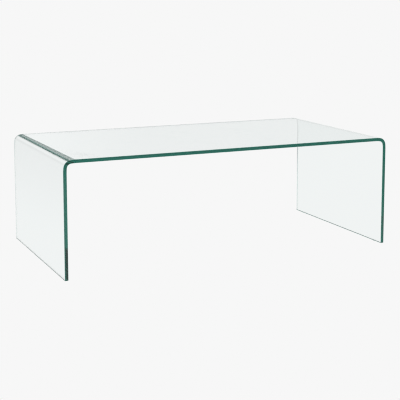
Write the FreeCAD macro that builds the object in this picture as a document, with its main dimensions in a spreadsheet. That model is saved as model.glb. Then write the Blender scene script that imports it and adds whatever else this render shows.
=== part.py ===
"""Waterfall coffee table: one sheet of float glass, bent down at both ends into its own legs.

Frame: millimetres, +Z up, +X along the table, origin on the floor under the table's middle.

The sheet is cut flat, its edges are ground and polished, and it is bent hot over two rails and
tempered. Four clear self-adhesive pads keep its ground lower edges off the floor.
"""
import FreeCAD, Part
import math
import os
import Sketcher
from FreeCAD import Vector

# Driving dimensions: alias, millimetres, what it is.
SIZES = [
    ("table_length", 1200.0, "outside of one leg to outside of the other"),
    ("table_width", 620.0, "front edge to back edge"),
    ("table_height", 390.0, "floor to the top face"),
    ("glass_thickness", 12.0, "thickness of the sheet"),
    ("inside_bend_radius", 18.0, "radius of the bend's inner skin"),
    ("foot_corner_radius", 3.0, "rounding of the four corners that reach the floor"),
    ("arris", 1.0, "flat ground along every edge of the sheet, leg of the 45 degree cut"),
    ("pad_diameter", 8.0, "clear pad under a leg"),
    ("pad_height", 2.0, "thickness of a pad, which is the gap under the glass"),
    ("pad_rim_radius", 0.5, "rounding of a pad's lower rim"),
    ("pad_setback", 50.0, "front or back edge of the glass to the middle of a pad"),
]

# Pads by name: which leg (-1 left, 1 right) and which edge of it (-1 front, 1 back).
PADS = {
    "pad_front_left": (-1, -1),
    "pad_front_right": (1, -1),
    "pad_back_left": (-1, 1),
    "pad_back_right": (1, 1),
}

SMALL = 1e-4           # lengths closer than this are the same length
SAME_DIRECTION = 0.99  # cosine above which two face normals count as one smooth surface
START, END, CENTRE = 1, 2, 3  # a sketch edge's points, as Sketcher numbers them

os.makedirs("parts", exist_ok=True)
doc = FreeCAD.newDocument("waterfall_coffee_table")

sheet = doc.addObject("Spreadsheet::Sheet", "Sizes")
for row, (alias, value, note) in enumerate(SIZES, start=1):
    sheet.set("A%d" % row, alias)
    sheet.set("B%d" % row, "%g" % value)
    sheet.set("C%d" % row, note)
    sheet.setAlias("B%d" % row, alias)
doc.recompute()


def origin_plane(body, role):
    """One of a body's three base planes, by its role."""
    return next(plane for plane in body.Origin.OriginFeatures if plane.Role == role)


def new_sketch(body, name, role):
    """An empty sketch that lies on one of the body's base planes."""
    sketch = body.newObject("Sketcher::SketchObject", name)
    sketch.AttachmentSupport = [(origin_plane(body, role), "")]
    sketch.MapMode = "FlatFace"
    return sketch


def bind(sketch, constraint, expression):
    """Adds a dimension to a sketch and ties it to the sheet of sizes."""
    index = sketch.addConstraint(constraint)
    sketch.setExpression("Constraints[%d]" % index, expression)


# ---------------------------------------------------------------- the bent sheet's section
def line(x0, z0, x1, z1):
    return Part.LineSegment(Vector(x0, z0, 0), Vector(x1, z1, 0))


def bend(centre_x, centre_z, radius, start):
    """A quarter of a circle, anticlockwise from an angle that is measured from +X."""
    circle = Part.Circle(Vector(centre_x, centre_z, 0), Vector(0, 0, 1), radius)
    return Part.ArcOfCircle(circle, start, start + math.pi / 2)


def draw_section(body):
    """The sheet seen from the front: down the left leg's inside, round it and back again."""
    half = sheet.table_length / 2
    foot = sheet.pad_height
    top = sheet.table_height
    wall = sheet.glass_thickness
    inner = sheet.inside_bend_radius
    outer = inner + wall
    bend_x = half - outer
    bend_z = top - outer

    sketch = new_sketch(body, "bent_sheet_section", "XZ_Plane")
    left_outside = sketch.addGeometry(line(-half, foot, -half, bend_z))
    left_bend_outside = sketch.addGeometry(bend(-bend_x, bend_z, outer, math.pi / 2))
    top_face = sketch.addGeometry(line(-bend_x, top, bend_x, top))
    right_bend_outside = sketch.addGeometry(bend(bend_x, bend_z, outer, 0))
    right_outside = sketch.addGeometry(line(half, bend_z, half, foot))
    right_foot = sketch.addGeometry(line(half, foot, half - wall, foot))
    right_inside = sketch.addGeometry(line(half - wall, foot, half - wall, bend_z))
    right_bend_inside = sketch.addGeometry(bend(bend_x, bend_z, inner, 0))
    underside = sketch.addGeometry(line(bend_x, top - wall, -bend_x, top - wall))
    left_bend_inside = sketch.addGeometry(bend(-bend_x, bend_z, inner, math.pi / 2))
    left_inside = sketch.addGeometry(line(wall - half, bend_z, wall - half, foot))
    left_foot = sketch.addGeometry(line(wall - half, foot, -half, foot))

    # Arcs run anticlockwise, so a left bend starts at the top face and ends at the leg.
    smooth_joints = [
        (left_outside, END, left_bend_outside, END),
        (left_bend_outside, START, top_face, START),
        (top_face, END, right_bend_outside, END),
        (right_bend_outside, START, right_outside, START),
        (right_inside, END, right_bend_inside, START),
        (right_bend_inside, END, underside, START),
        (underside, END, left_bend_inside, START),
        (left_bend_inside, END, left_inside, START),
    ]
    for joint in smooth_joints:
        sketch.addConstraint(Sketcher.Constraint("Tangent", *joint))
    square_joints = [
        (right_outside, END, right_foot, START),
        (right_foot, END, right_inside, START),
        (left_inside, END, left_foot, START),
        (left_foot, END, left_outside, START),
        (left_bend_outside, CENTRE, left_bend_inside, CENTRE),
        (right_bend_outside, CENTRE, right_bend_inside, CENTRE),
    ]
    for joint in square_joints:
        sketch.addConstraint(Sketcher.Constraint("Coincident", *joint))
    for upright in (left_outside, right_outside, right_inside, left_inside):
        sketch.addConstraint(Sketcher.Constraint("Vertical", upright))
    for level in (top_face, underside, right_foot, left_foot):
        sketch.addConstraint(Sketcher.Constraint("Horizontal", level))
    sketch.addConstraint(Sketcher.Constraint("Equal", left_bend_outside, right_bend_outside))
    origin, vertical_axis = (-1, START), -2
    sketch.addConstraint(
        Sketcher.Constraint("Symmetric", left_outside, START, right_outside, END, vertical_axis)
    )

    bind(
        sketch,
        Sketcher.Constraint("DistanceX", left_outside, START, right_outside, END, 2 * half),
        "Sizes.table_length",
    )
    bind(
        sketch,
        Sketcher.Constraint("DistanceY", *origin, left_outside, START, foot),
        "Sizes.pad_height",
    )
    bind(
        sketch,
        Sketcher.Constraint("DistanceY", *origin, top_face, START, top),
        "Sizes.table_height",
    )
    bind(
        sketch,
        Sketcher.Constraint("DistanceX", left_outside, START, left_inside, END, wall),
        "Sizes.glass_thickness",
    )
    bind(
        sketch,
        Sketcher.Constraint("Radius", left_bend_inside, inner),
        "Sizes.inside_bend_radius",
    )
    return sketch


# ---------------------------------------------------------------- edges to round and to grind
def edges_where(feature, wanted):
    """The names of a feature's edges that pass a test, as a dress-up feature takes them."""
    names = []
    for number, edge in enumerate(feature.Shape.Edges, start=1):
        if wanted(feature.Shape, edge):
            names.append("Edge%d" % number)
    return names


def is_foot_corner(shape, edge):
    """An edge that crosses the thickness of the glass where a leg's rim meets its foot."""
    box = edge.BoundBox
    crosses = box.YLength < SMALL and box.ZLength < SMALL
    return crosses and abs(box.ZMin - sheet.pad_height) < SMALL


def is_sharp(shape, edge):
    """An edge between two faces that don't run smoothly into each other."""
    middle = edge.valueAt((edge.FirstParameter + edge.LastParameter) / 2)
    normals = []
    for face in shape.ancestorsOfType(edge, Part.Face):
        u, v = face.Surface.parameter(middle)
        normals.append(face.normalAt(u, v))
    return normals[0].dot(normals[-1]) < SAME_DIRECTION


# ---------------------------------------------------------------- the pieces
def make_bent_glass():
    """The sheet: its section drawn once, run from front to back, cornered and arrised."""
    body = doc.addObject("PartDesign::Body", "bent_glass")
    body.Label = "bent_glass"
    section = draw_section(body)
    slab = body.newObject("PartDesign::Pad", "sheet_width")
    slab.Profile = section
    slab.SideType = "Symmetric"
    slab.setExpression("Length", "Sizes.table_width")
    doc.recompute()

    corners = body.newObject("PartDesign::Fillet", "foot_corners")
    corners.Base = (slab, edges_where(slab, is_foot_corner))
    corners.setExpression("Radius", "Sizes.foot_corner_radius")
    doc.recompute()

    arrises = body.newObject("PartDesign::Chamfer", "polished_arrises")
    arrises.Base = (corners, edges_where(corners, is_sharp))
    arrises.setExpression("Size", "Sizes.arris")
    doc.recompute()
    return body


def make_pad(name, leg, edge):
    """A clear pad, stuck by its flat top to the ground edge of a leg."""
    body = doc.addObject("PartDesign::Body", name)
    body.Label = name
    outline = new_sketch(body, name + "_outline", "XY_Plane")
    radius = sheet.pad_diameter / 2
    circle = outline.addGeometry(Part.Circle(Vector(0, 0, 0), Vector(0, 0, 1), radius))
    outline.addConstraint(Sketcher.Constraint("Coincident", circle, CENTRE, -1, START))
    bind(outline, Sketcher.Constraint("Diameter", circle, 2 * radius), "Sizes.pad_diameter")
    disc = body.newObject("PartDesign::Pad", name + "_disc")
    disc.Profile = outline
    disc.setExpression("Length", "Sizes.pad_height")
    doc.recompute()

    rim = body.newObject("PartDesign::Fillet", name + "_rim")
    rim.Base = (disc, edges_where(disc, is_lower_rim))
    rim.setExpression("Radius", "Sizes.pad_rim_radius")
    doc.recompute()

    body.setExpression(
        "Placement.Base.x", "%d * (Sizes.table_length - Sizes.glass_thickness) / 2" % leg
    )
    body.setExpression(
        "Placement.Base.y", "%d * (Sizes.table_width / 2 - Sizes.pad_setback)" % edge
    )
    doc.recompute()
    return body


def is_lower_rim(shape, edge):
    """The circle round a pad's underside, before the pad is moved to its place."""
    return edge.BoundBox.ZMax < SMALL


pieces = [make_bent_glass()]
for pad_name, (pad_leg, pad_edge) in PADS.items():
    pieces.append(make_pad(pad_name, pad_leg, pad_edge))
doc.recompute()

# ---------------------------------------------------------------- check, then write
for thing in doc.Objects:
    if "Invalid" in thing.State or "Error" in thing.State:
        raise RuntimeError("%s did not build: %s" % (thing.Name, thing.State))
for piece in pieces:
    solid = piece.Shape
    if solid.isNull() or not solid.isValid() or len(solid.Solids) != 1:
        raise RuntimeError("%s is not one valid solid" % piece.Label)
for piece in pieces:
    piece.Shape.exportStep("parts/%s.step" % piece.Label)
    box = piece.Shape.BoundBox
    print(
        "%-16s x %.2f..%.2f  y %.2f..%.2f  z %.2f..%.2f  %.1f cm3"
        % (piece.Label, box.XMin, box.XMax, box.YMin, box.YMax, box.ZMin, box.ZMax,
           piece.Shape.Volume / 1000)
    )
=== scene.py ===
# %% [markdown]
# # A waterfall coffee table in bent glass
#
# The table is one sheet of clear float glass. It is cut flat, its edges are ground and polished, and
# then it is laid over two rails in a furnace, where both ends sag down and become the legs. Four small
# clear pads keep the ground edges off the floor.
#
# A glass object has hardly any colour of its own. What the eye reads is the green of light that ran the
# long way through the sheet and left by an edge, and the room that the faces mirror. So this script
# spends its effort on four things: a closed solid with true edges, a true depth of colour, the finish
# of each kind of surface, and a studio that gives the glass something to mirror.

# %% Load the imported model, which fixes every size and place
import math

import bmesh
import bpy
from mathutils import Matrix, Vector


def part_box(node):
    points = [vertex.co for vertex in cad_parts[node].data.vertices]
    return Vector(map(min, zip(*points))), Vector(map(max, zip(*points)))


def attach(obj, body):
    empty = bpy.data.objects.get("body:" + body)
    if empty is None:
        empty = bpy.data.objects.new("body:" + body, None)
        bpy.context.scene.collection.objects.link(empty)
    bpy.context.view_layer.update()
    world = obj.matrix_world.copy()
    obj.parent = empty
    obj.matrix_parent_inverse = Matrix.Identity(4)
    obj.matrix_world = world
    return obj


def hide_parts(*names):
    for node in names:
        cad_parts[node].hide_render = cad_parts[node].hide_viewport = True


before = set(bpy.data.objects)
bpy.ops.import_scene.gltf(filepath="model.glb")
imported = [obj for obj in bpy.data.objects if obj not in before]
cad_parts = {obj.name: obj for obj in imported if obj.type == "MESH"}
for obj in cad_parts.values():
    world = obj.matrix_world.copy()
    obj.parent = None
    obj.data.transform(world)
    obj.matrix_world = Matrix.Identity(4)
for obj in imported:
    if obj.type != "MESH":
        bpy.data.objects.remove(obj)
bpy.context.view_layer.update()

# %% [markdown]
# ## Sizes
#
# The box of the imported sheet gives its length, width and height, and how far its feet stand off the
# floor. The thickness, the bend and the edge work can't be read from a box, so they are written here,
# as a glazier would write them on the order.

# %% Sizes of the sheet, in metres
glass_low, glass_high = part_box("bent_glass")

GLASS_THICKNESS = 0.012
INSIDE_BEND_RADIUS = 0.018
FOOT_CORNER_RADIUS = 0.003
ARRIS = 0.001

table_length = glass_high.x - glass_low.x
table_width = glass_high.y - glass_low.y
top_height = glass_high.z
foot_height = glass_low.z
half_thickness = GLASS_THICKNESS / 2
middle_height = top_height - half_thickness


def mm(metres):
    """Metres in millimetres, for what the cells print."""
    return metres * 1000


print("sheet %.0f x %.0f mm, top at %.0f mm, foot at %.0f mm" % (
    mm(table_length), mm(table_width), mm(top_height), mm(foot_height),
))

# %% [markdown]
# ## How glass really bends
#
# On a drawing a bend is a plain quarter circle. In the furnace the glass is hottest over the rail and
# cooler a finger's width away, so the turn starts gently, is tightest in the middle and ends gently.
# Mirrored lines show this at once: they drift towards the bend before they whip round it. The bend here
# is three arcs, a wide one, a tight one and a wide one. The tight radius is worked out so that the
# crown, where the sheet has turned by half, lies exactly where the drawing's quarter circle has it.

# %% The three arcs of a bend, measured along the middle of the thickness
SOFT_TURN = math.radians(8)
SOFT_RADIUS = 0.120
HALF_TURN = math.pi / 4

drawn_radius = INSIDE_BEND_RADIUS + half_thickness
crown_drop = drawn_radius * (1 - math.cos(HALF_TURN))
soft_drop = SOFT_RADIUS * (1 - math.cos(SOFT_TURN))
tight_radius = (crown_drop - soft_drop) / (math.cos(SOFT_TURN) - math.cos(HALF_TURN))
tight_turn = 2 * (HALF_TURN - SOFT_TURN)
soft_run = SOFT_RADIUS * SOFT_TURN
tight_run = tight_radius * tight_turn
bend_run = 2 * soft_run + tight_run
bend_reach = (
    SOFT_RADIUS * math.sin(SOFT_TURN)
    + tight_radius * (math.cos(SOFT_TURN) - math.sin(SOFT_TURN))
    + soft_drop
)

flat_half = table_length / 2 - half_thickness - bend_reach
leg_run = middle_height - bend_reach - foot_height
blank_half = flat_half + bend_run + leg_run
print("tight radius %.1f mm, bend %.1f mm long" % (mm(tight_radius), mm(bend_run)))
print("the flat blank is %.1f mm long before bending" % mm(2 * blank_half))

# %% [markdown]
# ## Small helpers for node trees
#
# Every tree below is made of many small maths nodes, so a few helpers keep the cells short. The first
# adds a node and sets its inputs, whether they are numbers or other nodes' outputs. The others use it
# for one maths node, for a sum and for a smooth change.

# %% Node helpers
def add_node(tree, kind, inputs=None, **settings):
    """Adds a node, sets its properties, and gives each named input a number or a link."""
    node = tree.nodes.new(kind)
    for name, value in settings.items():
        setattr(node, name, value)
    for name, value in (inputs or {}).items():
        if isinstance(value, bpy.types.NodeSocket):
            tree.links.new(value, node.inputs[name])
        else:
            node.inputs[name].default_value = value
    return node


def maths(tree, operation, *values):
    """One maths node; returns its output."""
    inputs = dict(enumerate(values))
    return add_node(tree, "ShaderNodeMath", inputs, operation=operation).outputs[0]


def total(tree, values):
    """Adds up any number of values."""
    result = values[0]
    for value in values[1:]:
        result = maths(tree, "ADD", result, value)
    return result


def smooth_step(tree, value, start, end):
    """0 before start, 1 after end, and a smooth change between them."""
    return add_node(
        tree, "ShaderNodeMapRange",
        {"Value": value, "From Min": start, "From Max": end},
        interpolation_type="SMOOTHSTEP",
    ).outputs["Result"]


print("helpers ready")

# %% [markdown]
# ## The flat blank
#
# The blank is what leaves the saw: a rectangle of float glass with four corners rounded a little, so
# that they don't chip, and an arris ground along every edge. It could be modelled in its bent shape,
# but on the flat sheet a bevel is simple and exact, and it is also the order of work in the factory.
# Rows of edges are placed where the bends will be, and nowhere else.

# %% Cut the blank to size, with rows of edges where it will bend
BEND_STEPS = 80


def blank_stations():
    """Where the rows of edges lie along the blank, from its left end to its right end."""
    steps = [flat_half + bend_run * step / BEND_STEPS for step in range(BEND_STEPS + 1)]
    right = steps + [blank_half]
    return [-place for place in reversed(right)] + right


def cut_blank(stations, half_width, half_height):
    """Rings of four points at each station, joined by faces and closed at both ends."""
    bm = bmesh.new()
    corners = ((-1, -1), (1, -1), (1, 1), (-1, 1))
    rings = []
    for place in stations:
        ring = [bm.verts.new((place, y * half_width, z * half_height)) for y, z in corners]
        rings.append(ring)
    for near, far in zip(rings, rings[1:]):
        for i in range(len(corners)):
            j = (i + 1) % len(corners)
            bm.faces.new((near[i], near[j], far[j], far[i]))
    bm.faces.new(reversed(rings[0]))
    bm.faces.new(rings[-1])
    bmesh.ops.recalc_face_normals(bm, faces=bm.faces)
    return bm


blank = cut_blank(blank_stations(), table_width / 2, half_thickness)
print("cut:", len(blank.verts), "points")

# %% Round the four corners, then grind an arris along every sharp edge
CORNER_STEPS = 8
ARRIS_STEPS = 1
ROUND_PROFILE = 0.5
SHARP_ANGLE = math.radians(30)


def grind(bm, edges, size, steps):
    """Takes off each edge: one step leaves a flat arris, more steps leave a rounding."""
    bmesh.ops.bevel(
        bm, geom=edges, offset=size, offset_type="OFFSET", affect="EDGES",
        segments=steps, profile=ROUND_PROFILE,
    )


def crosses_an_end(edge):
    """True for the short edges that stand at the blank's four corners."""
    near, far = (point.co for point in edge.verts)
    return abs(near.x) > blank_half - ARRIS and abs(near.z - far.z) > ARRIS


foot_corners = [edge for edge in blank.edges if crosses_an_end(edge)]
grind(blank, foot_corners, FOOT_CORNER_RADIUS, CORNER_STEPS)
sharp_edges = [edge for edge in blank.edges if edge.calc_face_angle() > SHARP_ANGLE]
grind(blank, sharp_edges, ARRIS, ARRIS_STEPS)
print("ground:", len(blank.verts), "points,", len(blank.faces), "faces")

# %% Shade it: smooth round the corners, sharp at the arrises
blank.normal_update()
for edge in blank.edges:
    edge.smooth = edge.calc_face_angle() < SHARP_ANGLE
for face in blank.faces:
    face.smooth = True
blank_mesh = bpy.data.meshes.new("flat_blank")
blank.to_mesh(blank_mesh)
blank.free()
print("sharp edges:", sum(1 for edge in blank_mesh.edges if edge.use_edge_sharp))

# %% [markdown]
# ## Three finishes on one solid
#
# The two large faces of float glass are never touched by a tool. They are as smooth as the tin bath
# and the flame left them. The rim has been under a diamond wheel and a felt wheel. The narrow arris
# is only taken off with a fine belt, so it stays a little cloudy. A number on each face of the mesh, 0
# for fire-polished, 1 for the rim and 2 for an arris, lets one material hold all three, so the solid
# stays closed and light can pass from one to the other.

# %% Mark the rim and the arrises by the way each face leans on the flat blank
FLAT_FACE = 0.9
UPRIGHT_FACE = 0.1
FIRE_POLISHED = 0.0
POLISHED_RIM = 1.0
BELTED_ARRIS = 2.0

finish = blank_mesh.attributes.new("finish", "FLOAT", "FACE")
for face in blank_mesh.polygons:
    lean = abs(face.normal.z)
    if lean > FLAT_FACE:
        finish.data[face.index].value = FIRE_POLISHED
    elif lean < UPRIGHT_FACE:
        finish.data[face.index].value = POLISHED_RIM
    else:
        finish.data[face.index].value = BELTED_ARRIS
marks = [item.value for item in finish.data]
print("faces: %d flat, %d rim, %d arris" % (
    marks.count(FIRE_POLISHED), marks.count(POLISHED_RIM), marks.count(BELTED_ARRIS),
))

# %% [markdown]
# ## Clear float glass
#
# Clear glass isn't colourless. The iron in it takes out red the most, then blue, and green the least.
# A face, where light crosses only the thickness, looks colourless, and an edge, seen through the whole
# sheet, looks green. That is a property of the inside, so the depth of colour is an absorbing volume.
# The rim carries painted green shade: its colour stands in for the light that goes to and fro in a long
# sheet far more often than can be followed here, and is dimmed and turned green on the way. An arris is
# half clear and half a cloudy green, because the belt leaves it with a fine tooth.
#
# Heights for the bump are in metres, on the flat blank's own coordinates, so that they follow the
# bends. The toughening rollers leave a wave of a few hundredths of a millimetre, a foot from crest to
# crest. It only shows where straight lines are mirrored. The wheel leaves fine marks that run along
# the rim, and one noise, stretched the long way, makes them for the long edges and for the feet.

# %% Roller wave and wheel marks, as heights
ROLLER_PITCH = 0.30
ROLLER_WAVE = 0.00003
ROLLER_DRIFT = 0.00004
ROLLER_DRIFT_SCALE = 5.0
ROLLER_DRIFT_DETAIL = 1.0
ROLLER_PHASE_DRIFT = 3.0
WHEEL_MARK_ACROSS = 1400.0
WHEEL_MARK_ALONG = 9.0
WHEEL_MARK_DETAIL = 3.0
WHEEL_MARK_DEPTH = 0.000004


def roller_wave(tree, place, along):
    """Waves across the line of travel, with a slow drift so that no two are alike."""
    drift = add_node(tree, "ShaderNodeTexNoise", {
        "Vector": place, "Scale": ROLLER_DRIFT_SCALE, "Detail": ROLLER_DRIFT_DETAIL,
    })
    angle = maths(tree, "MULTIPLY", along, 2 * math.pi / ROLLER_PITCH)
    phase = maths(tree, "MULTIPLY_ADD", drift.outputs[0], ROLLER_PHASE_DRIFT, angle)
    wave = maths(tree, "MULTIPLY", maths(tree, "SINE", phase), ROLLER_WAVE)
    return maths(tree, "MULTIPLY_ADD", drift.outputs[0], ROLLER_DRIFT, wave)


def wheel_marks(tree, place):
    """Fine lines along the rim: noise that is short across the thickness and long elsewhere."""
    stretched = add_node(tree, "ShaderNodeVectorMath", {
        0: place, 1: (WHEEL_MARK_ALONG, WHEEL_MARK_ALONG, WHEEL_MARK_ACROSS),
    }, operation="MULTIPLY").outputs[0]
    marks = add_node(tree, "ShaderNodeTexNoise", {
        "Vector": stretched, "Scale": 1.0, "Detail": WHEEL_MARK_DETAIL,
    })
    return maths(tree, "MULTIPLY", marks.outputs[0], WHEEL_MARK_DEPTH)


print("a roller wave every %.0f mm, %.3f mm high" % (mm(ROLLER_PITCH), mm(ROLLER_WAVE)))

# %% Material: clear float glass with a polished rim and belted arrises
GLASS_IOR = 1.52
ABSORPTION_DENSITY = 60.0
ABSORPTION_COLOUR = (0.930, 0.963, 0.958, 1.0)
WHITE = (1.0, 1.0, 1.0, 1.0)
# Painted green shade on the rim: it stands in for the light lost on paths through the sheet too long to
# follow.
RIM_PAINTED_GREEN_SHADE = (0.13, 0.59, 0.52, 1.0)
RIM_ROUGHNESS = 0.08
ARRIS_COLOUR = (0.28, 0.60, 0.53, 1.0)
ARRIS_ROUGHNESS = 0.12
ARRIS_CLEARNESS = 0.5


def new_material(name):
    """An empty material with nothing but its output."""
    material = bpy.data.materials.new(name)
    material.use_nodes = True
    tree = material.node_tree
    tree.nodes.clear()
    output = tree.nodes.new("ShaderNodeOutputMaterial")
    return material, tree, output


# A Mix node holds every kind of socket at once: inputs 2 and 3 are numbers, 6 and 7 are colours.
def choose(tree, mark, plain, marked):
    """One value where the mark is 0 and another where it is 1."""
    return add_node(tree, "ShaderNodeMix", {0: mark, 2: plain, 3: marked}, data_type="FLOAT").outputs[0]


def choose_colour(tree, mark, plain, marked):
    """One colour where the mark is 0 and another where it is 1."""
    return add_node(tree, "ShaderNodeMix", {0: mark, 6: plain, 7: marked}, data_type="RGBA").outputs[2]


def make_clear_glass():
    material, tree, output = new_material("clear_float_glass")
    kind = add_node(tree, "ShaderNodeAttribute", attribute_name="finish").outputs["Fac"]
    rim = maths(tree, "MINIMUM", kind, 1.0)
    arris = maths(tree, "MAXIMUM", maths(tree, "SUBTRACT", kind, 1.0), 0.0)
    place = add_node(tree, "ShaderNodeAttribute", attribute_name="blank_place").outputs["Vector"]
    along = add_node(tree, "ShaderNodeSeparateXYZ", {0: place}).outputs["X"]
    # The rim's colour is painted green shade.
    colour = choose_colour(tree, rim, WHITE, RIM_PAINTED_GREEN_SHADE)
    height = choose(tree, rim, roller_wave(tree, place, along), wheel_marks(tree, place))
    relief = add_node(tree, "ShaderNodeBump", {"Height": height, "Distance": 1.0, "Strength": 1.0})
    shader = add_node(tree, "ShaderNodeBsdfPrincipled", {
        "Base Color": choose_colour(tree, arris, colour, ARRIS_COLOUR),
        "Roughness": choose(tree, arris, maths(tree, "MULTIPLY", rim, RIM_ROUGHNESS), ARRIS_ROUGHNESS),
        "IOR": GLASS_IOR,
        "Transmission Weight": choose(tree, arris, 1.0, ARRIS_CLEARNESS),
        "Normal": relief.outputs[0],
    })
    depth = add_node(tree, "ShaderNodeVolumeAbsorption", {
        "Color": ABSORPTION_COLOUR,
        "Density": ABSORPTION_DENSITY,
    })
    tree.links.new(shader.outputs["BSDF"], output.inputs["Surface"])
    tree.links.new(depth.outputs["Volume"], output.inputs["Volume"])
    return material


clear_glass = make_clear_glass()
absorbed = [ABSORPTION_DENSITY * (1 - part) for part in ABSORPTION_COLOUR[:3]]
print("absorption per metre, as an exponent: red %.1f, green %.1f, blue %.1f" % tuple(absorbed))

# %% [markdown]
# ## Bending
#
# The furnace does one thing: past the flat part, the sheet turns through the three arcs, and past them
# it hangs straight down. That is a rule, so Geometry Nodes do it. The middle of the thickness keeps its
# length, the inside is squeezed and the outside is stretched, just as in hot glass. Each arc adds its
# own part of the way outwards, of the drop and of the turn, and a point that lies off the middle is
# carried along square to the sheet. The flat place of every point is kept, for the materials.

# %% Node tree: one arc's share of the bend
def add_arc(tree, beyond, start, turned, turn, radius):
    """How far out, how far down and how far round a point gets on one arc."""
    run = maths(tree, "MULTIPLY", turn, radius)
    way = maths(tree, "MAXIMUM", maths(tree, "SUBTRACT", beyond, start), 0.0)
    way = maths(tree, "MINIMUM", way, run)
    here = maths(tree, "DIVIDE", way, radius)
    facing = maths(tree, "ADD", turned, here)
    out = maths(tree, "SUBTRACT", maths(tree, "SINE", facing), maths(tree, "SINE", turned))
    drop = maths(tree, "SUBTRACT", maths(tree, "COSINE", turned), maths(tree, "COSINE", facing))
    out = maths(tree, "MULTIPLY", out, radius)
    drop = maths(tree, "MULTIPLY", drop, radius)
    return out, drop, here, run


print("an arc adds its way out, its drop and its turn")

# %% Node tree: bend the blank over two rails
def new_tree(name, numbers):
    """A tree with a geometry input, named numbers, and a material."""
    tree = bpy.data.node_groups.new(name, "GeometryNodeTree")
    face = tree.interface
    face.new_socket("Geometry", in_out="INPUT", socket_type="NodeSocketGeometry")
    for number in numbers:
        face.new_socket(number, in_out="INPUT", socket_type="NodeSocketFloat")
    face.new_socket("Material", in_out="INPUT", socket_type="NodeSocketMaterial")
    face.new_socket("Geometry", in_out="OUTPUT", socket_type="NodeSocketGeometry")
    return tree, tree.nodes.new("NodeGroupInput").outputs


def close_tree(tree, geometry, material):
    """Ends a tree the way an export needs it: real points, and a material of its own."""
    real = add_node(tree, "GeometryNodeRealizeInstances", {"Geometry": geometry}).outputs[0]
    done = add_node(tree, "GeometryNodeSetMaterial", {"Geometry": real, "Material": material})
    result = tree.nodes.new("NodeGroupOutput")
    tree.links.new(done.outputs[0], result.inputs[0])
    return tree


def make_bend_tree():
    tree, given = new_tree("hot_bend", (
        "Flat Half Length", "Middle Height", "Soft Radius", "Soft Turn", "Tight Radius", "Tight Turn",
    ))
    position = add_node(tree, "GeometryNodeInputPosition").outputs[0]
    kept = add_node(
        tree, "GeometryNodeStoreNamedAttribute",
        {"Geometry": given["Geometry"], "Name": "blank_place", "Value": position},
        data_type="FLOAT_VECTOR", domain="POINT",
    ).outputs["Geometry"]
    place = add_node(tree, "ShaderNodeSeparateXYZ", {0: position}).outputs
    along = maths(tree, "ABSOLUTE", place["X"])
    side = maths(tree, "SIGN", place["X"])
    flat = given["Flat Half Length"]
    beyond = maths(tree, "MAXIMUM", maths(tree, "SUBTRACT", along, flat), 0.0)

    outs, drops, turned, start = [maths(tree, "MINIMUM", along, flat)], [], 0.0, 0.0
    for kind in ("Soft", "Tight", "Soft"):
        out, drop, here, run = add_arc(
            tree, beyond, start, turned, given[kind + " Turn"], given[kind + " Radius"],
        )
        outs.append(out)
        drops.append(drop)
        turned = maths(tree, "ADD", turned, here)
        start = maths(tree, "ADD", start, run)
    drops.append(maths(tree, "MAXIMUM", maths(tree, "SUBTRACT", beyond, start), 0.0))

    outs.append(maths(tree, "MULTIPLY", place["Z"], maths(tree, "SINE", turned)))
    lift = maths(tree, "MULTIPLY", place["Z"], maths(tree, "COSINE", turned))
    height = maths(tree, "SUBTRACT", given["Middle Height"], total(tree, drops))
    bent = add_node(tree, "ShaderNodeCombineXYZ", {
        "X": maths(tree, "MULTIPLY", side, total(tree, outs)),
        "Y": place["Y"],
        "Z": maths(tree, "ADD", height, lift),
    }).outputs[0]
    moved = add_node(tree, "GeometryNodeSetPosition", {"Geometry": kept, "Position": bent}).outputs[0]
    return close_tree(tree, moved, given["Material"])


bend_tree = make_bend_tree()
print("hot_bend:", len(bend_tree.nodes), "nodes")

# %% Run a tree on a mesh and keep the result as a plain piece
def grow(name, mesh, tree, values):
    """Puts a tree on a mesh, sets its named inputs, and returns the result as a plain object."""
    start = bpy.data.objects.new(name + "_start", mesh)
    bpy.context.scene.collection.objects.link(start)
    modifier = start.modifiers.new(tree.name, "NODES")
    modifier.node_group = tree
    for item in tree.interface.items_tree:
        if item.in_out == "INPUT" and item.name in values:
            modifier[item.identifier] = values[item.name]
    normals = start.modifiers.new("face_weighted_normals", "WEIGHTED_NORMAL")
    normals.keep_sharp = True
    graph = bpy.context.evaluated_depsgraph_get()
    plain = bpy.data.meshes.new_from_object(start.evaluated_get(graph))
    plain.name = name
    bpy.data.objects.remove(start)
    piece = bpy.data.objects.new(name, plain)
    bpy.context.scene.collection.objects.link(piece)
    return piece


sheet = grow("bent_glass_sheet", blank_mesh, bend_tree, {
    "Flat Half Length": flat_half,
    "Middle Height": middle_height,
    "Soft Radius": SOFT_RADIUS,
    "Soft Turn": SOFT_TURN,
    "Tight Radius": tight_radius,
    "Tight Turn": tight_turn,
    "Material": clear_glass,
})
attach(sheet, "root")
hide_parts("bent_glass")
print("sheet:", len(sheet.data.polygons), "faces, material", sheet.data.materials[0].name)

# %% [markdown]
# ## Pads
#
# A ground glass foot on a hard floor would slip and chip, so a clear self-adhesive pad sits under each
# end of each leg. It is die-cut from soft polyurethane: a flat sticky top, a side that bulges a little
# under the load, and a rounded lower rim. One pad is turned from its outline, and four points of a grid
# carry copies of it. The top stops a hair under the glass, where the adhesive is.

# %% Turn one pad from its outline
pad_low, pad_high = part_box("pad_front_left")
PAD_SIDES = 48
RIM_RADIUS = 0.0005
RIM_STEPS = 6
ADHESIVE = 0.00005
BULGE = 0.00008
BULGE_STEPS = 6
WELD_DISTANCE = 0.0000001

pad_radius = (pad_high.x - pad_low.x) / 2
pad_top = pad_high.z - ADHESIVE


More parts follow.
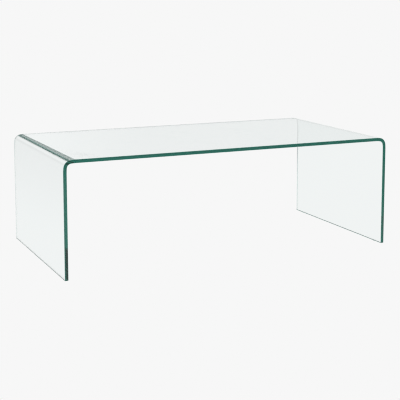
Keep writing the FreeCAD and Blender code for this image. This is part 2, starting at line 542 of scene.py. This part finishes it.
def pad_outline():
    """Distance from the axis and height, from the middle of the underside to the middle of the top."""
    points = [(0.0, 0.0)]
    for step in range(RIM_STEPS + 1):
        angle = math.pi / 2 * step / RIM_STEPS
        out = pad_radius - BULGE - RIM_RADIUS + RIM_RADIUS * math.sin(angle)
        points.append((out, RIM_RADIUS - RIM_RADIUS * math.cos(angle)))
    for step in range(1, BULGE_STEPS + 1):
        share = step / BULGE_STEPS
        out = pad_radius - BULGE + BULGE * math.sin(math.pi * share)
        points.append((out, RIM_RADIUS + (pad_top - RIM_RADIUS) * share))
    points.append((0.0, pad_top))
    return points


def turn_outline(points, sides):
    """Spins an outline round the upright axis and welds the seam and the two poles."""
    bm = bmesh.new()
    line = [bm.verts.new((out, 0.0, height)) for out, height in points]
    edges = [bm.edges.new(pair) for pair in zip(line, line[1:])]
    bmesh.ops.spin(
        bm, geom=line + edges, cent=(0, 0, 0), axis=(0, 0, 1), angle=2 * math.pi, steps=sides,
    )
    bmesh.ops.remove_doubles(bm, verts=bm.verts, dist=WELD_DISTANCE)
    bmesh.ops.recalc_face_normals(bm, faces=bm.faces)
    for edge in bm.edges:
        edge.smooth = edge.calc_face_angle() < SHARP_ANGLE
    for face in bm.faces:
        face.smooth = True
    mesh = bpy.data.meshes.new("one_pad")
    bm.to_mesh(mesh)
    bm.free()
    return mesh


pad_mesh = turn_outline(pad_outline(), PAD_SIDES)
print("one pad:", len(pad_mesh.polygons), "faces, %.1f mm across" % mm(2 * pad_radius))

# %% Material: clear polyurethane
PAD_IOR = 1.48
PAD_COLOUR = (0.86, 0.88, 0.86, 1.0)
PAD_DUST_COLOUR = (0.72, 0.74, 0.72, 1.0)
PAD_ROUGHNESS = (0.10, 0.28)
PAD_CLEARNESS = 0.85
PAD_GRAIN = 900.0
PAD_GRAIN_DETAIL = 2.0
PAD_GRAIN_DEPTH = 0.00001


def make_clear_pad():
    """Soft plastic: clear, a little milky, and picking up dust unevenly."""
    material, tree, output = new_material("clear_polyurethane")
    place = add_node(tree, "ShaderNodeTexCoord").outputs["Object"]
    dust = add_node(tree, "ShaderNodeTexNoise", {
        "Vector": place, "Scale": PAD_GRAIN, "Detail": PAD_GRAIN_DETAIL,
    })
    colour = choose_colour(tree, dust.outputs[0], PAD_COLOUR, PAD_DUST_COLOUR)
    rough = add_node(tree, "ShaderNodeMapRange", {
        "Value": dust.outputs[0], "To Min": PAD_ROUGHNESS[0], "To Max": PAD_ROUGHNESS[1],
    }).outputs["Result"]
    height = maths(tree, "MULTIPLY", dust.outputs[0], PAD_GRAIN_DEPTH)
    relief = add_node(tree, "ShaderNodeBump", {"Height": height, "Distance": 1.0, "Strength": 1.0})
    shader = add_node(tree, "ShaderNodeBsdfPrincipled", {
        "Base Color": colour,
        "Roughness": rough,
        "IOR": PAD_IOR,
        "Transmission Weight": PAD_CLEARNESS,
        "Normal": relief.outputs[0],
    })
    tree.links.new(shader.outputs["BSDF"], output.inputs["Surface"])
    return material


clear_pad = make_clear_pad()
print("pad material:", clear_pad.name)

# %% Node tree: a copy of one pad at each of four points
def make_pad_tree():
    tree, given = new_tree("four_pads", ("Between Legs", "Front To Back"))
    grid = add_node(tree, "GeometryNodeMeshGrid", {
        "Size X": given["Between Legs"],
        "Size Y": given["Front To Back"],
        "Vertices X": 2,
        "Vertices Y": 2,
    }).outputs["Mesh"]
    copies = add_node(tree, "GeometryNodeInstanceOnPoints", {
        "Points": grid, "Instance": given["Geometry"],
    }).outputs[0]
    return close_tree(tree, copies, given["Material"])


far_pad_low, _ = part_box("pad_back_right")
between_legs = far_pad_low.x - pad_low.x
front_to_back = far_pad_low.y - pad_low.y
pads = grow("floor_pads", pad_mesh, make_pad_tree(), {
    "Between Legs": between_legs,
    "Front To Back": front_to_back,
    "Material": clear_pad,
})
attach(pads, "root")
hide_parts("pad_front_left", "pad_front_right", "pad_back_left", "pad_back_right")
print("pads: %.0f x %.0f mm apart" % (mm(between_legs), mm(front_to_back)))

# %% [markdown]
# ## The studio
#
# Glass shows its room, so it is the room that is lit and not the table. The table stands on a pale
# sweep of paper. A fan of light is painted on the paper from a spot in front of the table, under the
# table and past it. The bright paper makes the see-through parts as pale as the background. To the
# left of the fan the paper carries a little painted shade, and to the right much more: that side is
# what the front edges mirror, and the painted shade keeps them deep green. Behind the fan's spot the
# paper carries the same painted shade as on the left.
#
# The paper glows by itself here, which is the plainest soft light there is: nothing is in shadow, and
# its fan of light and its shade are painted. How bright it is depends only on the bearing from the
# fan's spot on the floor.

# %% Painted light and shade: how bright the paper is on each bearing from the fan's spot
# Painted light and painted shade on the paper: the fan's spot and aim, the brightness in the fan, and
# the dimmer painted shade left and right of it.
PAINTED_FAN_SPOT = (-1.5, -3.4, 0.0)
PAINTED_FAN_AIM = math.radians(24)
PAPER = 0.930
PAPER_PAINTED_SHADE_LEFT = 0.81
PAPER_PAINTED_SHADE_RIGHT = 0.50
LEFT_FADE = (-12, -22)
RIGHT_FADE = (13, 30)
RIGHT_END = (170, 115)


def painted_paper_light(tree, way):
    """Painted brightness of the paper along a direction from the fan's spot; bearings are degrees off
    its aim.
    """
    turned = add_node(tree, "ShaderNodeVectorRotate", {
        "Vector": way, "Axis": (0.0, 0.0, 1.0), "Angle": PAINTED_FAN_AIM,
    }).outputs[0]
    axes = add_node(tree, "ShaderNodeSeparateXYZ", {0: turned}).outputs
    bearing = maths(tree, "DEGREES", maths(tree, "ARCTAN2", axes["X"], axes["Y"]))
    right = maths(
        tree, "MULTIPLY",
        smooth_step(tree, bearing, *RIGHT_FADE), smooth_step(tree, bearing, *RIGHT_END),
    )
    behind = maths(tree, "GREATER_THAN", bearing, RIGHT_END[1])
    light = choose(tree, smooth_step(tree, bearing, *LEFT_FADE), PAPER, PAPER_PAINTED_SHADE_LEFT)
    light = choose(tree, behind, light, PAPER_PAINTED_SHADE_LEFT)
    return choose(tree, right, light, PAPER_PAINTED_SHADE_RIGHT)


print("paper: %.2f in the fan, %.2f left of it, %.2f right of it" % (PAPER, PAPER_PAINTED_SHADE_LEFT, PAPER_PAINTED_SHADE_RIGHT))

# %% The sheet of paper on the floor
FLOOR_REACH = 60.0


def make_paper_with_painted_light():
    material, tree, output = new_material("paper_with_painted_light")
    place = add_node(tree, "ShaderNodeTexCoord").outputs["Object"]
    way = add_node(
        tree, "ShaderNodeVectorMath", {0: place, 1: PAINTED_FAN_SPOT}, operation="SUBTRACT",
    ).outputs[0]
    # The paper's glow carries the painted fan of light and the painted shade beside it.
    glow = add_node(tree, "ShaderNodeEmission", {"Color": WHITE, "Strength": painted_paper_light(tree, way)})
    tree.links.new(glow.outputs[0], output.inputs["Surface"])
    return material


floor_mesh = bpy.data.meshes.new("studio_floor")
floor_mesh.from_pydata(
    [(-FLOOR_REACH, -FLOOR_REACH, 0), (FLOOR_REACH, -FLOOR_REACH, 0),
     (FLOOR_REACH, FLOOR_REACH, 0), (-FLOOR_REACH, FLOOR_REACH, 0)],
    [], [(0, 1, 2, 3)],
)
floor_mesh.materials.append(make_paper_with_painted_light())
floor = bpy.data.objects.new("studio_floor", floor_mesh)
bpy.context.scene.collection.objects.link(floor)
print("floor: %.0f m square" % (2 * FLOOR_REACH))

# %% [markdown]
# ## What stands round the paper
#
# Everything above the paper is the world. The sweep has no corner, so the world starts at the horizon
# with the paper's own brightness and turns into the room a few degrees higher. The room itself is dim
# up to thirty degrees and pale overhead.
#
# Panels are laid over it in turn, each a patch with soft borders: where it starts and ends, sideways
# and upwards in degrees, its colour, and how soft its sides and its upper and lower borders are.
# Sideways degrees are counted from straight behind the table, clockwise seen from above. The flat top
# mirrors the pale wall behind it. A bend mirrors a dark patch just over the wall: its darkness draws
# the line that shows where the sheet turns, and it is painted a very dark green, which stands in for
# the green of the glass there.

# %% Panels of light
# The room's brightness at some heights, in degrees above the horizon.
HEIGHTS = ((0, 0.60), (30, 0.60), (55, 0.88), (90, 1.0))
SWEEP_TOP = 6


def grey(brightness):
    """A grey as a colour."""
    return (brightness, brightness, brightness, 1.0)


# Painted green shade: the dark patch over the wall is tinted green, which stands in for the green of
# the glass at the bends.
PAINTED_GREEN_SHADE = (0.0, 0.07, 0.05, 1.0)
# Left, right, bottom, top, colour, softness of the sides, softness of the lower and upper borders.
PANELS = {
    "wide soft box": (-80, 80, 10, 50, grey(0.86), 6, 1),
    "shade beside the dark patch": (10, 30, 10, 24, grey(0.50), 4, 1),
    # The dark patch carries the painted green shade.
    "dark patch, painted green": (0, 20, 9, 20, PAINTED_GREEN_SHADE, 1.5, 0.6),
    "wall behind": (-80, 80, -2, 9.8, grey(0.865), 5, 0.2),
    "wall behind, left": (-80, 17, -2, 9.75, grey(0.965), 5, 0.2),
    "shade at the far left": (-80, -11, -2, 12, grey(0.64), 5, 1),
}


def band(tree, value, start, end, softness):
    """1 between start and end, 0 outside, with soft borders."""
    opening = smooth_step(tree, value, start - softness, start + softness)
    closing = smooth_step(tree, value, end + softness, end - softness)
    return maths(tree, "MULTIPLY", opening, closing)


def panel_light(tree, rise, sideways):
    """The height ramp with every panel laid over it in turn."""
    light = HEIGHTS[0][1]
    for (low, _), (high, brightness) in zip(HEIGHTS, HEIGHTS[1:]):
        light = choose(tree, smooth_step(tree, rise, low, high), light, brightness)
    for left, right, bottom, top, colour, side_softness, height_softness in PANELS.values():
        patch = maths(
            tree, "MULTIPLY",
            band(tree, sideways, left, right, side_softness),
            band(tree, rise, bottom, top, height_softness),
        )
        light = choose_colour(tree, patch, light, colour)
    return light


def make_sky():
    world = bpy.data.worlds.new("studio")
    world.use_nodes = True
    bpy.context.scene.world = world
    tree = world.node_tree
    tree.nodes.clear()
    output = tree.nodes.new("ShaderNodeOutputWorld")
    way = add_node(tree, "ShaderNodeTexCoord").outputs["Generated"]
    axes = add_node(tree, "ShaderNodeSeparateXYZ", {0: way}).outputs
    rise = maths(tree, "DEGREES", maths(tree, "ARCSINE", axes["Z"]))
    sideways = maths(tree, "DEGREES", maths(tree, "ARCTAN2", axes["X"], axes["Y"]))
    above = panel_light(tree, rise, sideways)
    # Up to the sweep's top the sky takes the paper's painted brightness.
    light = choose_colour(tree, smooth_step(tree, rise, 0, SWEEP_TOP), painted_paper_light(tree, way), above)
    back = add_node(tree, "ShaderNodeBackground", {"Color": light, "Strength": 1.0})
    tree.links.new(back.outputs[0], output.inputs["Surface"])
    return tree


sky_tree = make_sky()
print("sky:", len(PANELS), "panels,", len(sky_tree.nodes), "nodes")

# %% [markdown]
# ## Camera
#
# The lens is a long one. It stands just under a metre above the floor and almost four metres from the
# table's middle, to the left of its front. It looks down by a little over seven degrees and is shifted
# down a little, as on an architect's camera, so that the legs lean less in the picture.

# %% Camera
CAMERA_PLACE = Vector((-1.511, -3.369, 0.928))
CAMERA_TURN = math.radians(24.27)
CAMERA_DIP = math.radians(7.41)
PICTURE_WIDTH = 400
FOCAL_PIXELS = 1030.0
SENSOR_WIDTH = 36.0
LENS_SHIFT = -0.2

camera_data = bpy.data.cameras.new("studio_camera")
camera_data.sensor_width = SENSOR_WIDTH
camera_data.lens = FOCAL_PIXELS / PICTURE_WIDTH * SENSOR_WIDTH
camera_data.shift_y = LENS_SHIFT
camera = bpy.data.objects.new("studio_camera", camera_data)
camera.location = CAMERA_PLACE
camera.rotation_euler = (math.pi / 2 - CAMERA_DIP, 0, -CAMERA_TURN)
bpy.context.scene.collection.objects.link(camera)
bpy.context.scene.camera = camera
print("lens %.0f mm, %.2f m from the table's middle" % (camera_data.lens, CAMERA_PLACE.length))

# %% [markdown]
# ## Settings that belong to glass
#
# Light that enters an edge goes to and fro between the two faces dozens of times before it leaves. With
# few bounces it would be cut off and the edges would turn black, so the limits are high. Long paths
# are also ended at random to save time, and that makes edges look mottled, so it starts late. The view
# transform stays plain, so that the paper is exactly as pale as it is lit.

# %% Bounces and view
BOUNCES = 512
SURE_BOUNCES = 64
PIXEL_FILTER = 1.2

scene = bpy.context.scene
scene.view_settings.view_transform = "Standard"
scene.cycles.max_bounces = BOUNCES
scene.cycles.transmission_bounces = BOUNCES
scene.cycles.glossy_bounces = BOUNCES
scene.cycles.filter_width = PIXEL_FILTER
scene.cycles.min_light_bounces = SURE_BOUNCES
print("up to", scene.cycles.max_bounces, "bounces")
